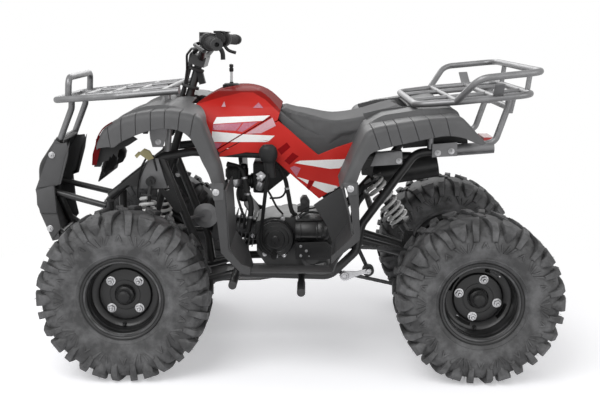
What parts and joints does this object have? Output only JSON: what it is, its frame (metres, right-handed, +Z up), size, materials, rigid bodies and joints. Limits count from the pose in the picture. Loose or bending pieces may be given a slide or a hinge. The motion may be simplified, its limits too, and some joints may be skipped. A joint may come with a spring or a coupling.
{
  "type": "quad bike",
  "caption": "Utility quad bike with knobbly tyres, tubular racks front and rear, red tank cover and dark fenders; bars, front wheels and rear axle turn.",
  "frame": {"origin": "on the ground under the middle of the overall box", "axes": "+X forward, +Y to the rider's left, +Z up"},
  "size_m": [1.522, 0.8988, 0.9561],
  "materials": {
    "frame": "satin",
    "rack": "satin",
    "dark_plastic": "matte",
    "red_plastic": "gloss",
    "seat_cover": "matte",
    "tyre": "matte",
    "rim": "satin",
    "cast": "satin",
    "bright": "satin",
    "coil": "gloss",
    "lens": "gloss",
    "red_lens": "gloss",
    "grip": "matte",
    "black_plastic": "matte"
  },
  "bodies": {
    "chassis": {"frame": "frame", "skid_plate": "frame", "bumper": "frame", "bumper_cover": "dark_plastic", "front_rack": "rack", "front_fenders": "dark_plastic", "nose_panel": "dark_plastic", "headlamps": "lens", "tank_cover": "red_plastic", "fuel_cap": "black_plastic", "side_panels": "red_plastic", "seat": "seat_cover", "rear_fenders": "dark_plastic", "footwells": "dark_plastic", "foot_pegs": "frame", "crankcase": "cast", "cylinder": "cast", "carburettor": "black_plastic", "exhaust": "frame", "selector_lever": "black_plastic", "horn": "bright", "chain": "bright", "swingarm": "frame", "shock_absorbers": "frame", "springs": "coil", "rear_rack": "rack", "tail_lamp": "red_lens", "front_arms": "frame"},
    "steering": {"handlebar": "frame", "steering_stem": "frame", "grips": "grip", "hand_controls": "black_plastic"},
    "knuckle_left": {"knuckle_left": "frame"},
    "knuckle_right": {"knuckle_right": "frame"},
    "tie_rod_left": {"tie_rod_left": "bright"},
    "tie_rod_right": {"tie_rod_right": "bright"},
    "front_wheel_left": {"front_tyre_left": "tyre", "front_rim_left": "rim", "front_hub_left": "bright"},
    "front_wheel_right": {"front_tyre_right": "tyre", "front_rim_right": "rim", "front_hub_right": "bright"},
    "rear_axle": {"rear_axle": "bright", "rear_rims": "rim", "rear_tyres": "tyre"}
  },
  "joints": [
    {"name": "steering", "type": "hinge", "parent": "chassis", "child": "steering", "pos_m": [0.272, 0, 0.871], "axis": [-0.2974, 0, 0.9548], "range_deg": [-32, 32]},
    {"name": "kingpin_left", "type": "hinge", "parent": "chassis", "child": "knuckle_left", "pos_m": [0.451, 0.286, 0.241], "axis": [-0.1392, 0, 0.9903], "range_deg": [-32, 32]},
    {"name": "tie_rod_left_pivot", "type": "hinge", "parent": "steering", "child": "tie_rod_left", "pos_m": [0.51933, 0.024, 0.26183], "axis": [-0.2974, 0, 0.9548], "range_deg": [-32, 32]},
    {"name": "front_wheel_left_spin", "type": "hinge", "parent": "knuckle_left", "child": "front_wheel_left", "pos_m": [0.451, 0.346, 0.241], "axis": [0, 1, 0], "continuous": true},
    {"name": "kingpin_right", "type": "hinge", "parent": "chassis", "child": "knuckle_right", "pos_m": [0.451, -0.286, 0.241], "axis": [-0.1392, 0, 0.9903], "range_deg": [-32, 32]},
    {"name": "tie_rod_right_pivot", "type": "hinge", "parent": "steering", "child": "tie_rod_right", "pos_m": [0.51933, -0.024, 0.26183], "axis": [-0.2974, 0, 0.9548], "range_deg": [-32, 32]},
    {"name": "front_wheel_right_spin", "type": "hinge", "parent": "knuckle_right", "child": "front_wheel_right", "pos_m": [0.451, -0.346, 0.241], "axis": [0, 1, 0], "continuous": true},
    {"name": "rear_axle_spin", "type": "hinge", "parent": "chassis", "child": "rear_axle", "pos_m": [-0.529, 0, 0.232], "axis": [0, 1, 0], "continuous": true}
  ],
  "couplings": [
    {"joint": "kingpin_left", "follows": "steering", "ratio": 1},
    {"joint": "tie_rod_left_pivot", "follows": "steering", "ratio": -1},
    {"joint": "kingpin_right", "follows": "steering", "ratio": 1},
    {"joint": "tie_rod_right_pivot", "follows": "steering", "ratio": -1}
  ]
}
